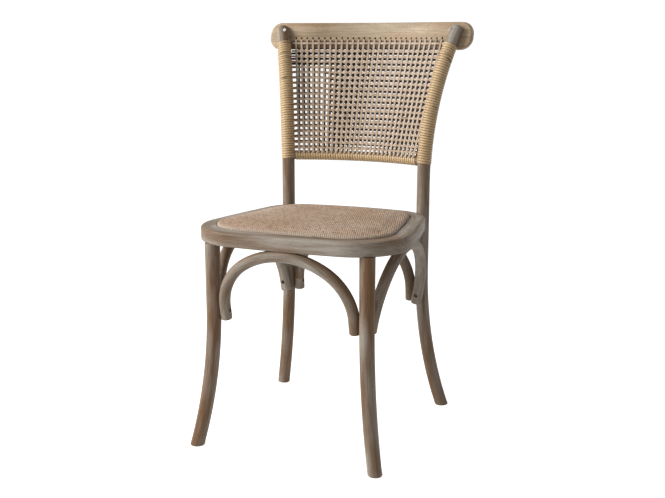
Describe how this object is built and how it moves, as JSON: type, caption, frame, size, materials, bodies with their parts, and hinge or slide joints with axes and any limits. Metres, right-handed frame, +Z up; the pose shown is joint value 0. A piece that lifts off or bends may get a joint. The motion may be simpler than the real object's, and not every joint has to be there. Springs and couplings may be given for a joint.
{
  "type": "dining chair",
  "caption": "Bentwood dining chair with a woven cane back, a bowed crest rail and a round-cornered seat with a crowned woven pad.",
  "frame": {"origin": "on the floor, under the middle of the whole chair", "axes": "+Z up, -Y the way the chair faces, +X to the right as seen from the front; X = 0 is its plane of symmetry"},
  "size_m": [0.495, 0.5476, 0.8835],
  "materials": {
    "frame_wood": "satin",
    "board_wood": "matte",
    "cane": "satin",
    "pad_cover": "matte",
    "steel": "brushed"
  },
  "bodies": {
    "root": {"seat_ring": "frame_wood", "seat_board": "board_wood", "seat_pad": "pad_cover", "front_leg_left": "frame_wood", "front_leg_right": "frame_wood", "back_post_left": "frame_wood", "back_post_right": "frame_wood", "post_wrap_left": "cane", "post_wrap_right": "cane", "front_arch": "frame_wood", "rear_arch": "frame_wood", "left_arch": "frame_wood", "right_arch": "frame_wood", "crest_rail": "frame_wood", "lower_back_rail": "frame_wood", "rail_wrap": "cane", "front_cane_uprights": "cane", "front_cane_rows": "cane", "back_cane_uprights": "cane", "back_cane_rows": "cane", "arch_end_screws": "steel", "arch_crown_screws": "steel", "crest_screws": "steel", "seat_board_screws": "steel", "seat_bolts": "steel", "seat_bolt_nuts": "steel"}
  },
  "joints": []
}
